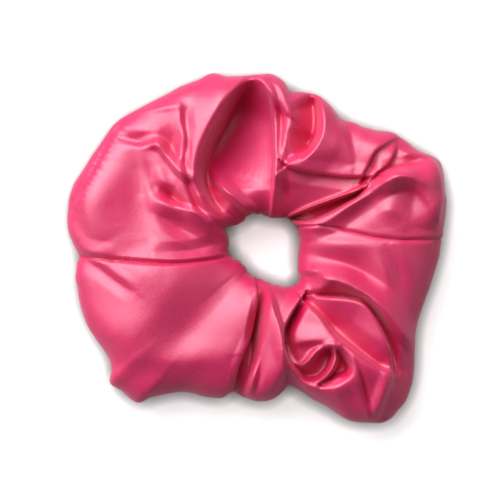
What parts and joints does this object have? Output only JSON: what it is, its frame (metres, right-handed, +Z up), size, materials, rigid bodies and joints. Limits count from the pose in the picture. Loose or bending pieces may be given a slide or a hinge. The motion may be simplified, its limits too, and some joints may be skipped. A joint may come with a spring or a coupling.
{
  "type": "scrunchie",
  "caption": "Gathered satin hair tie: a soft puffy ring of cloth sewn round a loop of flat elastic, which stretches to pass over a ponytail or bun.",
  "frame": {"origin": "the middle of the ring's box, on the surface that it lies on", "axes": "+Z up out of the surface, along the way hair passes through the ring; +X towards the closing seam; +Y towards the back half"},
  "size_m": [0.1584, 0.148, 0.0363],
  "materials": {
    "satin": "pink satin, soft directional sheen",
    "elastic": "white braided elastic, matte",
    "thread": "pink polyester sewing thread"
  },
  "bodies": {
    "back_half": {"cover_back": "satin", "elastic_inner_end": "elastic", "elastic_outer_end": "elastic", "elastic_lap_needle_thread": "thread", "elastic_lap_bobbin_thread": "thread", "long_seam_needle_thread_back": "thread", "long_seam_bobbin_thread_back": "thread", "closing_seam_needle_thread": "thread", "closing_seam_bobbin_thread": "thread"},
    "front_half": {"cover_front": "satin", "elastic_front": "elastic", "long_seam_needle_thread_front": "thread", "long_seam_bobbin_thread_front": "thread"}
  },
  "joints": [
    {"name": "stretch", "type": "slide", "parent": "back_half", "child": "front_half", "axis": [0, -1, 0], "range_m": [0, 0.11], "stiffness_N_per_m": 50}
  ]
}
